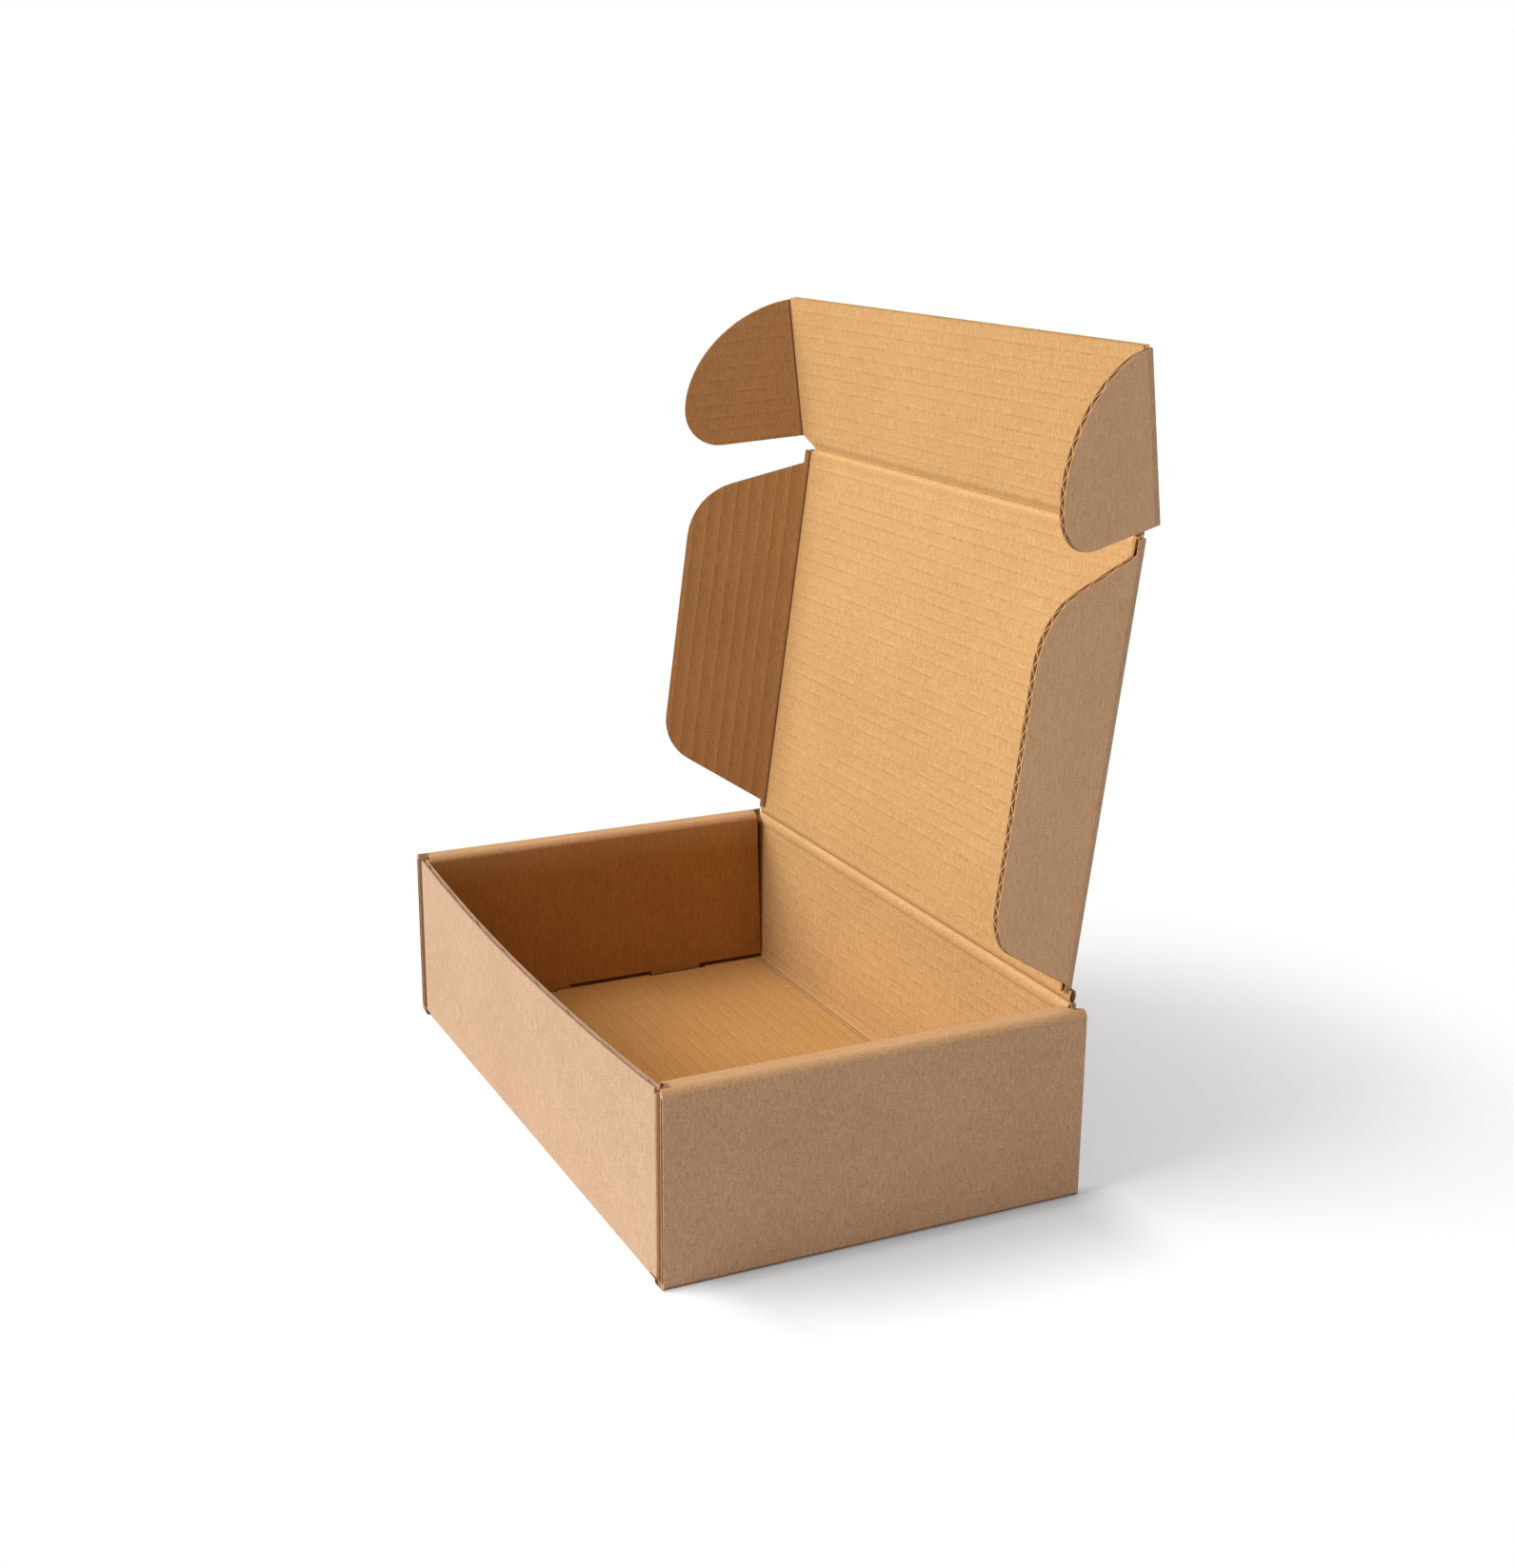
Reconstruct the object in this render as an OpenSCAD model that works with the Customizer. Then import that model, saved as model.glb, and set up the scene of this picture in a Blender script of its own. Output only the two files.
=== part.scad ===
// Corrugated mailer box, folded from one die-cut sheet and standing open.
// The tray has roll-over double side walls, locked by tabs in the floor. The lid hinges on the back
// wall and carries two dust flaps and a front flap, whose rounded ears slide into the side walls.
// The origin is the middle of the tray's underside: +X to the right side wall, -Y to the front, +Z up.

/* [Tray] */
// Width of the tray over its side walls
tray_w = 298; // [220:1:380]
// Depth of the tray over its front and back walls
tray_d = 180; // [150:1:260]
// Height of the side walls
tray_h = 80; // [72:1:120]
// How far the front wall's top edge stands below the side walls
front_drop = 1.5; // [0.8:0.1:6]
// How far the middle of the front wall's top edge bows outwards
front_bow = 3.2; // [1:0.1:6]
// How far the middle of the front wall's top edge dips
front_dip = 2.5; // [0.5:0.1:6]
// Length of the corner flaps that lie inside the side walls
corner_flap = 66; // [62:1:70]

/* [Board] */
// Thickness of the corrugated board
board = 2.6; // [2:0.1:3.2]
// Distance from one flute to the next
flute_pitch = 6.4; // [5:0.1:8]
// Thickness of each paper liner
liner = 0.4; // [0.3:0.05:0.6]
// Thickness of the fluted paper between the liners
medium = 0.3; // [0.25:0.05:0.4]
// Depth of the open channel between the liners at an edge that is cut along the flutes
channel = 1.2; // [0.6:0.1:2]
// Width of board that a crease crushes flat beside a flap
crushed = 3.2; // [2.5:0.1:5]
// Outer radius of the tray's upright and bottom folds
fold_r = 2.2; // [1:0.1:3]
// Outer radius where a side wall rolls over
roll_r = 3.2; // [2:0.1:4]

/* [Locking tabs] */
// Length of each tab along the side wall
tab_l = 30; // [20:1:36]
// Distance of each tab's middle from the middle of the side wall
tab_at = 40; // [36:1:48]
// Gap under an inner panel, above the floor
panel_lift = 0.7; // [0.4:0.1:1.5]
// Clearance around a tab in its slot in the floor
tab_clear = 0.3; // [0.2:0.1:0.6]
// Extra width of a slot towards the middle of the floor
slot_play = 0.9; // [0:0.1:2]

/* [Lid] */
// How far the lid leans back from upright
lid_lean = 7.5; // [0:0.5:30]
// Clearance of the closed lid above the side walls
lid_clear = 0.5; // [0.4:0.1:1.5]
// Clearance of the closed front flap in front of the bowed wall
front_clear = 0.5; // [0.4:0.1:1.5]
// Clearance of a folded dust flap beside an inner panel
dust_clear = 0.4; // [0.3:0.1:1.5]
// Bend of the front flap from the lid's plane
flap_bend = 14.5; // [0:0.5:60]
// Length of the front flap from its crease to its free edge
flap_l = 71; // [60:1:72]

/* [Dust flaps] */
// Width of a dust flap from its crease to its free edge
dust_w = 56; // [40:1:65]
// Fold of a dust flap from the lid's plane
dust_fold = 70; // [60:1:88]
// Fold of a dust flap when the box is shut
dust_shut = 136; // [100:1:140]
// How far a dust flap starts from the lid's hinge
dust_start = 4; // [3:0.5:12]
// Clearance of a closed dust flap's far end behind the front wall
dust_end = 0.5; // [0.4:0.1:6]
// Slant of a dust flap's end by the hinge, measured over its whole width
dust_slant = 25; // [15:1:35]
// Slant of its other end
dust_slant_far = 22; // [16:1:30]
// Corner radius of a dust flap by the hinge
dust_r = 22; // [12:1:30]
// Its other corner radius
dust_r_far = 30; // [16:1:34]

/* [Ears] */
// Width of an ear from its crease to its tip
ear_w = 57; // [35:1:58]
// Fold of an ear from the front flap's plane
ear_fold = 70; // [50:1:88]
// Corner radius of an ear beside the lid
ear_r = 16; // [8:1:18]
// Fullness of an ear's long curve: 1 is a straight cut and 2 is an ellipse
ear_full = 1.8; // [1.3:0.1:2]
// Clearance of an ear in its slot in the side wall
ear_clear = 0.3; // [0.3:0.05:0.6]

/* [Creases] */
// Gap beside a crease that folds to a right angle
crease_gap = 0.3; // [0.3:0.05:0.6]
// Gap beside a dust flap's crease
dust_gap = 0.3; // [0.3:0.05:0.6]

/* [Hidden] */
kraft_out = [0.72, 0.56, 0.41];
kraft_in = [0.83, 0.64, 0.42];
round_fn = 48;
eps = 0.01;

// Height of the fluted paper between the liners
core = board - 2 * liner;

half_w = tray_w / 2;
half_d = tray_d / 2;
half_t = board / 2;

// Layers of a side wall, from outside to inside
ear_slot = board + 2 * ear_clear;
corner_x = half_w - board - ear_slot;
layer_gap = 0.1;
inner_x = corner_x - board - layer_gap;
wall_in = inner_x - board;

// Folded height of each wall
front_h = tray_h - front_drop;
hinge_y = half_d - half_t;
hinge_z = tray_h + lid_clear + half_t;
back_h = hinge_z - half_t - crease_gap;
corner_flap_h = tray_h - board - 1;

// Lid, measured from the middle of its hinge crease
lid_l = hinge_y + half_d + front_bow + front_clear + half_t;
dust_x = wall_in - dust_clear - half_t;
// When the box is shut, a dust flap lies behind the front wall and its top corner over that wall
dust_top = hinge_y + half_d - board - dust_end;
dust_over = hinge_z - front_h - 0.4;
// Half widths of the lid's outer and inner faces, whose side edges slant to leave room for the
// dust flaps when the box is shut
lid_out = dust_x - (half_t + dust_gap + half_t * cos(dust_shut)) / sin(dust_shut);
lid_half = dust_x - (half_t + dust_gap - half_t * cos(dust_shut)) / sin(dust_shut);
ear_x = half_w - board - ear_clear - half_t;
flap_half = ear_x - half_t - crease_gap;
// An ear starts just below the roll of the side wall when the box is shut
ear_start = hinge_z - (tray_h - board) + ear_clear;
ear_end = flap_l - 1;

// Points of an arc about c, from angle a to angle b
function arc(c, r, a, b, n = 8) =
    [for (i = [0:n]) c + r * [cos(a + (b - a) * i / n), sin(a + (b - a) * i / n)]];

// Corner at p between the points before and after it, rounded to radius r
function corner(before, p, after, r, n = 8) =
    let (u = (before - p) / norm(before - p),
         v = (after - p) / norm(after - p),
         half = acos(u * v) / 2,
         bis = (u + v) / norm(u + v),
         c = p + bis * r / sin(half),
         p1 = p + u * r / tan(half),
         p2 = p + v * r / tan(half),
         a1 = atan2(p1.y - c.y, p1.x - c.x),
         a2 = atan2(p2.y - c.y, p2.x - c.x),
         turn = a2 - a1 > 180 ? a2 - a1 - 360 : a2 - a1 < -180 ? a2 - a1 + 360 : a2 - a1)
    arc(c, r, a1, a1 + turn, n);

// Upright board panel: an outline in X and Z, with the board's thickness about Y = 0
module panel(outline) {
    rotate([90, 0, 0])
        translate([0, 0, -half_t])
            linear_extrude(board)
                polygon(outline);
}

// Flutes of a flap: two rows of openings along X, one against each liner, from one Z to another
module flutes(length, from, to) {
    leg = flute_pitch / 2;
    foot = medium + 0.3;
    rise = core * (leg - foot) / leg;
    crown = 0.18 * leg;
    opening = [[foot, 0], [flute_pitch - foot, 0], [leg + crown, 0.92 * rise * (1 - crown / leg)],
               [leg, 0.92 * rise], [leg - crown, 0.92 * rise * (1 - crown / leg)]];
    for (i = [floor(from / flute_pitch):ceil(to / flute_pitch)], side = [0, 1])
        translate([crushed, 0, (i + side / 2) * flute_pitch])
            mirror([0, side, 0])
                translate([0, -core / 2, 0])
                    rotate([90, 0, 90])
                        linear_extrude(length)
                            polygon([for (p = opening) [p.y, p.x]]);
}

// Fluted paper that wanders from one liner to the other along a cut edge. line gives the middle of
// the edge at each X and top its height there.
function wander(x) = ((core - medium) / 2 - 0.15) * max(-1, min(1, 1.6 * sin(9.5 * x) + 0.7 * sin(23 * x)));

module edge_paper(from, to, line, top, steps = 90) {
    xs = [for (i = [0:steps]) from + (to - from) * i / steps];
    low = [for (x = xs) [x, line(x) + wander(x) - medium / 2, top(x) - channel - 0.2]];
    high = [for (p = low) [p.x, p.y, top(p.x) - 0.25]];
    back = [0, medium, 0];
    strip(concat(low, high, [for (p = high) p + back], [for (p = low) p + back]), steps + 1);
}

// Closed skin over rings of points: points holds one row for each corner of the section, n in a row
module strip(points, n) {
    rows = len(points) / n;
    polyhedron(points, concat(
        [for (k = [0:rows - 1], i = [0:n - 2])
            let (a = k * n + i, b = ((k + 1) % rows) * n + i)
            [a, b, b + 1, a + 1]],
        [[for (k = [rows - 1:-1:0]) k * n]],
        [[for (k = [0:rows - 1]) k * n + n - 1]]), convexity = 6);
}

// Rounded edge of a board along X, centred on the crease that it turns about
module bead_x(length) {
    rotate([0, 90, 0])
        cylinder(h = length, r = half_t, center = true, $fn = round_fn);
}

// The same edge along Z
module bead_z(from, to) {
    translate([0, 0, from])
        cylinder(h = to - from, r = half_t, $fn = round_fn);
}

// Square with its four corners rounded by radii r = [left low, right low, right high, left high]
module soft_box(x0, x1, y0, y1, r) {
    px = [x0 + r[0], x1 - r[1], x1 - r[2], x0 + r[3]];
    py = [y0 + r[0], y0 + r[1], y1 - r[2], y1 - r[3]];
    polygon([[x0, py[0]], [px[0], y0], [px[1], y0], [x1, py[1]],
             [x1, py[2]], [px[2], y1], [px[3], y1], [x0, py[3]]]);
    for (i = [0:3])
        if (r[i] > 0)
            translate([px[i], py[i]])
                circle(r = r[i], $fn = round_fn);
}

// Section of the right side wall: outer panel, roll and inner panel
module side_wall_section() {
    difference() {
        soft_box(wall_in, half_w, 0, tray_h, [0, fold_r, roll_r, roll_r]);
        soft_box(inner_x, half_w - board, board, tray_h - board, [0, 0.4, 0.6, 0.6]);
        // the inner panel ends above the floor
        translate([wall_in - 1, -1])
            square([board + 1 + eps, board + panel_lift + 1]);
    }
}

// Layer of fluted paper in the side wall's section
module side_wall_core() {
    difference() {
        soft_box(wall_in + liner, half_w - liner, liner + board, tray_h - liner,
                 [0, 0, roll_r - liner, roll_r - liner]);
        soft_box(inner_x - liner, half_w - board + liner, 0, tray_h - board + liner,
                 [0, 0, 0.6 + liner, 0.6 + liner]);
    }
}

module side_wall() {
    front_in = -half_d + board + 0.9;
    back_in = half_d - board - 0.4;
    back_in_top = half_d - board - 3;
    difference() {
        rotate([90, 0, 0])
            linear_extrude(tray_d, center = true)
                side_wall_section();
        // the roll and the inner panel stop behind the front wall
        translate([0, 0, board])
            linear_extrude(tray_h)
                polygon([[half_w - board, -half_d - 1], [half_w - board, -half_d],
                         [corner_x, front_in], [wall_in - 1, front_in], [wall_in - 1, -half_d - 1]]);
        // and in front of the back wall, where the inner panel's end slants away from it
        translate([0, 0, tray_h - board - roll_r])
            linear_extrude(tray_h)
                polygon([[half_w - board, half_d + 1], [half_w - board, half_d],
                         [corner_x, back_in_top], [wall_in - 1, back_in_top], [wall_in - 1, half_d + 1]]);
        translate([wall_in - 1, 0, 0])
            rotate([90, 0, 90])
                linear_extrude(half_w - board - wall_in + 1)
                    polygon([[back_in, board], [back_in_top, tray_h - board - roll_r + eps],
                             [half_d + 1, tray_h - board - roll_r + eps], [half_d + 1, board]]);
        // the raw ends show the gap between the two liners
        for (end = [-1, 1])
            translate([0, end * half_d, 0])
                rotate([90, 0, 0])
                    linear_extrude(2 * channel, center = true)
                        intersection() {
                            side_wall_core();
                            translate([half_w - board, 0])
                                square([board, tray_h - roll_r]);
                        }
        for (end = [front_in, back_in_top])
            translate([0, end, 0])
                rotate([90, 0, 0])
                    linear_extrude(2 * channel, center = true)
                        intersection() {
                            side_wall_core();
                            translate([wall_in, tray_h - 3 * board])
                                square([corner_x - wall_in, 3 * board]);
                        }
    }
}

// The two locking tabs of the right side wall, which stand in slots in the floor
module tabs() {
    for (side = [-1, 1])
        translate([wall_in, side * tab_at - tab_l / 2, 0])
            cube([board, tab_l, board + panel_lift + eps]);
}

module tab_slots() {
    for (side = [-1, 1])
        translate([wall_in - tab_clear - slot_play, side * tab_at - tab_l / 2 - tab_clear, -1])
            cube([board + 2 * tab_clear + slot_play, tab_l + 2 * tab_clear, board + 1 + eps]);
}

module floor_panel() {
    edge = half_w - fold_r;
    translate([-edge, -half_d + fold_r, 0])
        cube([2 * edge, tray_d - 2 * fold_r, board]);
}

// Foot of the front or back wall, where it folds up from the floor, along X at the front
module wall_foot(height) {
    rotate([90, 0, 90])
        linear_extrude(2 * (corner_x - fold_r), center = true)
            difference() {
                soft_box(-half_d, -half_d + fold_r + eps, 0, height, [fold_r, 0, 0, 0]);
                translate([-half_d + board, board])
                    square([fold_r, height]);
            }
}

// Corner flap at the front right, turned back from its wall into the side wall
module corner_piece() {
    low = board + 0.5;
    translate([0, 0, low])
        linear_extrude(corner_flap_h - low)
            soft_box(corner_x - board, corner_x, -half_d, -half_d + corner_flap, [0, fold_r, 0, 0]);
}

// How far the front wall's top edge stands out at x, and how high it stands
function bow(x) = front_bow * (1 - pow(x / (corner_x - fold_r), 2));
function brim(x) = front_h - front_dip * (1 - pow(x / (corner_x - fold_r), 2));

module front_wall() {
    foot = 4;
    steps = 24;
    past_end = 1.01;
    half = corner_x - fold_r;
    xs = [for (i = [0:steps]) -half + 2 * half * i / steps];
    wall_foot(foot);
    // the wall above its foot bows outwards, most at the middle of its top edge, where the
    // channel between its liners is open
    difference() {
        strip([for (p = [[0, foot], [0, front_h], [board, front_h], [board, foot]], x = xs)
            p.y == foot ? [x, -half_d + p.x, foot] : [x, -half_d - bow(x) + p.x, brim(x)]],
            steps + 1);
        strip([for (p = [[liner, -channel], [liner, 1], [board - liner, 1], [board - liner, -channel]],
                    x = xs)
            [x * past_end, -half_d - bow(x) + p.x, brim(x) + p.y]],
            steps + 1);
    }
    edge_paper(-half + 0.5, half - 0.5, function(x) -half_d - bow(x) + half_t, function(x) brim(x));
}

module back_wall() {
    mirror([0, 1, 0])
        wall_foot(back_h);
}

module tray() {
    color(kraft_out) {
        difference() {
            union() {
                floor_panel();
                front_wall();
                back_wall();
                for (x = [0, 1])
                    mirror([x, 0, 0])
                        side_wall();
            }
            for (x = [0, 1])
                mirror([x, 0, 0])
                    tab_slots();
        }
        for (x = [0, 1])
            mirror([x, 0, 0]) {
                tabs();
                corner_piece();
                mirror([0, 1, 0])
                    corner_piece();
            }
    }
}

// Places its children in the lid's frame: X along the hinge, Z up the lid, Y its thickness
module on_lid() {
    translate([0, hinge_y, hinge_z])
        rotate([-lid_lean, 0, 0])
            children();
}

// Places its children in the front flap's frame, from the crease at the lid's far edge
module on_front_flap() {
    on_lid()
        translate([0, 0, lid_l])
            rotate([flap_bend, 0, 0])
                children();
}

module lid() {
    top = lid_l - half_t - crease_gap;
    color(kraft_in)
        on_lid() {
            bead_x(2 * lid_half);
            linear_extrude(top)
                polygon([[-lid_half, -half_t], [lid_half, -half_t], [lid_out, half_t], [-lid_out, half_t]]);
        }
}

// Dust flap on the right of the lid, flat in its own frame with the crease at X = 0
module dust_flap() {
    head = lid_l - half_t - crease_gap;
    foot = [0, dust_start];
    far_foot = [dust_w, dust_start + dust_slant];
    far_top = [dust_w, dust_top - dust_slant_far];
    over = [dust_over, dust_top];
    bead_z(dust_start, head);
    difference() {
        panel(concat([foot], corner(foot, far_foot, far_top, dust_r),
                     corner(far_foot, far_top, over, dust_r_far), [over, [0, head]]));
        flutes(dust_w, dust_start, dust_top);
    }
}

module dust_flap_right() {
    color(kraft_in)
        on_lid()
            translate([dust_x, 0, 0])
                rotate([0, 0, -dust_fold])
                    dust_flap();
}

module dust_flap_left() {
    color(kraft_in)
        on_lid()
            mirror([1, 0, 0])
                translate([dust_x, 0, 0])
                    rotate([0, 0, -dust_fold])
                        dust_flap();
}

module front_flap() {
    color(kraft_in)
        on_front_flap() {
            bead_x(2 * lid_half);
            difference() {
                panel([[-lid_half, 0], [lid_half, 0], [flap_half, ear_start], [flap_half, flap_l],
                       [-flap_half, flap_l], [-flap_half, ear_start]]);
                translate([0, 0, flap_l])
                    cube([2 * flap_half + 1, core, 2 * channel], center = true);
            }
            edge_paper(-flap_half, flap_half, function(x) 0, function(x) flap_l);
        }
}

// Ear on the right of the front flap, flat in its own frame with the crease at X = 0
module ear() {
    crown = ear_start + ear_r;
    steps = 20;
    long_curve = [for (i = [0:steps])
        let (a = 90 * i / steps,
             s = pow(sin(a), 2 / ear_full),
             w = pow(cos(a), 2 / ear_full))
        [ear_w * w, crown + (ear_end - crown) * s]];
    bead_z(ear_start, ear_end);
    difference() {
        panel(concat([[0, ear_start]], arc([ear_w - ear_r, crown], ear_r, -90, -eps), long_curve));
        flutes(ear_w, ear_start, ear_end);
    }
}

module ear_right() {
    color(kraft_in)
        on_front_flap()
            translate([ear_x, 0, 0])
                rotate([0, 0, -ear_fold])
                    ear();
}

module ear_left() {
    color(kraft_in)
        on_front_flap()
            mirror([1, 0, 0])
                translate([ear_x, 0, 0])
                    rotate([0, 0, -ear_fold])
                        ear();
}

tray();
lid();
dust_flap_left();
dust_flap_right();
front_flap();
ear_left();
ear_right();
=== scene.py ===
"""Corrugated mailer box, standing open: kraft board, its creases and its raw cut edges."""
import math

import bmesh
import bpy
from mathutils import Matrix, Vector


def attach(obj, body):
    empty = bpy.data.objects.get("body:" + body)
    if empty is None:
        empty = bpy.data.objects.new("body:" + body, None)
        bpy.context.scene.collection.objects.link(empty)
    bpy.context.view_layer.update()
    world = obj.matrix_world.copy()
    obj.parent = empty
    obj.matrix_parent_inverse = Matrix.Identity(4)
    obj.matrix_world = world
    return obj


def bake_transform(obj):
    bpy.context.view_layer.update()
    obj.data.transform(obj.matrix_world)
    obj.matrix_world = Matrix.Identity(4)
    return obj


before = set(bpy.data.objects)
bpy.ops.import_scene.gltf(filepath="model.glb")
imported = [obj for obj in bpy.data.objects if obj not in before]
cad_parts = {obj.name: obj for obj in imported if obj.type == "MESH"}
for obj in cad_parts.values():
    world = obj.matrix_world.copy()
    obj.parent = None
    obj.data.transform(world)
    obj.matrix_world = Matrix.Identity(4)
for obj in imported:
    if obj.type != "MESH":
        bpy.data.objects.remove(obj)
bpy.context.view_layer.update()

MM = 0.001

# Camera, from the photograph's view of the box
IMAGE_W, IMAGE_H = 1590, 1647
SENSOR = 36.0
FOCAL_PX = 2235.2
CAMERA_AZIMUTH = math.radians(64.337)
CAMERA_ELEVATION = math.radians(16.431)
CAMERA_ROLL = math.radians(0.387)
AIM_RIGHT, AIM_UP = 17.06 * MM, 137.265 * MM
CAMERA_DISTANCE = 944.05 * MM
CLIP_NEAR, CLIP_FAR = 0.01, 20

# Sizes of the board and the box, as in the solids
BOARD = 2.6 * MM
HALF_BOARD = BOARD / 2
LINER = 0.3 * MM
HALF_DEPTH = 90 * MM
HINGE_Y, HINGE_Z = 88.7 * MM, 81.8 * MM
HINGE_HALF = 140.2 * MM
LID_LENGTH = 183.7 * MM
LID_LEAN = math.radians(7.5)
LID_HALF_IN, LID_HALF_OUT = 132.3 * MM, 135 * MM
FLAP_BEND = math.radians(14.5)
SIDE_FOLD = math.radians(70)
DUST_X, DUST_START, DUST_END = 136.2 * MM, 2 * MM, 181.6 * MM
EAR_X, EAR_START, EAR_END = 144.8 * MM, 5.2 * MM, 69.5 * MM

# Side walls: inner panel's face, corner flap's face and the outer panel's faces, from the middle
WALL_IN = 137.9 * MM
CORNER_X = 143.2 * MM
SIDE_IN, SIDE_OUT = 146.4 * MM, 149 * MM
SIDE_CORE_IN, SIDE_CORE_OUT = 146.8 * MM, 148.6 * MM
ROLL_FOOT = 75.5 * MM
TAB_MIDDLE, TAB_FROM, TAB_TO = 4 * MM, 22 * MM, 48 * MM

# Distance from one pressed line to the next on each panel, and from the origin to the first on the tray
LID_LINES = 6.2 * MM
FLOOR_LINES = 7.0 * MM
FLAP_LINES = 5.9 * MM
DUST_LINES = 6.35 * MM
FIRST_FLOOR_LINE, FIRST_WALL_LINE = 1.9 * MM, -4.45 * MM
FIRST_DUST_BAND = -3 * MM

# The fluted paper between the liners, as a zigzag across the board's thickness
FLUTE_PITCH = 6.4 * MM
HALF_CORE = 0.9 * MM
FLUTED_PAPER = 0.15 * MM

X, Y, Z = Vector((1, 0, 0)), Vector((0, 1, 0)), Vector((0, 0, 1))
LID_UP = Vector((0, math.sin(LID_LEAN), math.cos(LID_LEAN)))
LID_OUT = Vector((0, math.cos(LID_LEAN), -math.sin(LID_LEAN)))
FLAP_TILT = FLAP_BEND - LID_LEAN
FLAP_UP = Vector((0, -math.sin(FLAP_TILT), math.cos(FLAP_TILT)))
FLAP_OUT = Vector((0, math.cos(FLAP_TILT), math.sin(FLAP_TILT)))
HINGE = Vector((0, HINGE_Y, HINGE_Z))
FAR_CREASE = HINGE + LID_UP * LID_LENGTH
SIDES = ("left", -1), ("right", 1)


def add_camera():
    back = Vector((math.sin(CAMERA_AZIMUTH) * math.cos(CAMERA_ELEVATION),
                   -math.cos(CAMERA_AZIMUTH) * math.cos(CAMERA_ELEVATION),
                   math.sin(CAMERA_ELEVATION)))
    level = Vector((math.cos(CAMERA_AZIMUTH), math.sin(CAMERA_AZIMUTH), 0))
    steep = back.cross(level)
    right = level * math.cos(CAMERA_ROLL) + steep * math.sin(CAMERA_ROLL)
    up = steep * math.cos(CAMERA_ROLL) - level * math.sin(CAMERA_ROLL)
    turn = Matrix((right, up, back)).transposed()
    stand = turn @ Vector((AIM_RIGHT, AIM_UP, CAMERA_DISTANCE))
    camera = bpy.data.objects.new("camera", bpy.data.cameras.new("camera"))
    bpy.context.collection.objects.link(camera)
    camera.data.sensor_width = SENSOR
    camera.data.lens = FOCAL_PX * SENSOR / max(IMAGE_W, IMAGE_H)
    camera.matrix_world = Matrix.Translation(stand) @ turn.to_4x4()
    camera.data.clip_start = CLIP_NEAR
    camera.data.clip_end = CLIP_FAR
    bpy.context.scene.camera = camera


class Num:
    """A shader number, so that arithmetic on it adds Math nodes."""

    def __init__(self, paint, socket):
        self.paint = paint
        self.socket = socket

    def join(self, operation, *others):
        made = self.paint.node("ShaderNodeMath", {"operation": operation}, dict(enumerate((self, *others))))
        return Num(self.paint, made.outputs[0])

    def __add__(self, other):
        return self.join("ADD", other)

    def __sub__(self, other):
        return self.join("SUBTRACT", other)

    def __mul__(self, other):
        return self.join("MULTIPLY", other)

    def __radd__(self, other):
        return self + other

    def __rmul__(self, other):
        return self * other

    def __rsub__(self, other):
        return self * -1 + other

    def __abs__(self):
        return self.join("ABSOLUTE")

    def sign(self):
        return self.join("SIGN")

    def part(self):
        return self.join("FRACT")

    def most(self, other):
        return self.join("MAXIMUM", other)

    def step(self, low, high):
        """0 below low and 1 above high, smooth between."""
        made = self.paint.node("ShaderNodeMapRange", {"interpolation_type": "SMOOTHSTEP"},
                               {"Value": self, "From Min": low, "From Max": high})
        return Num(self.paint, made.outputs["Result"])

    def fade(self, low, high):
        """1 below low and 0 above high, smooth between."""
        return 1 - self.step(low, high)

    def band(self, middle, half_width):
        """1 at middle, falling to 0 at half_width away on both sides."""
        return abs(self - middle).fade(0, half_width)


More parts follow.
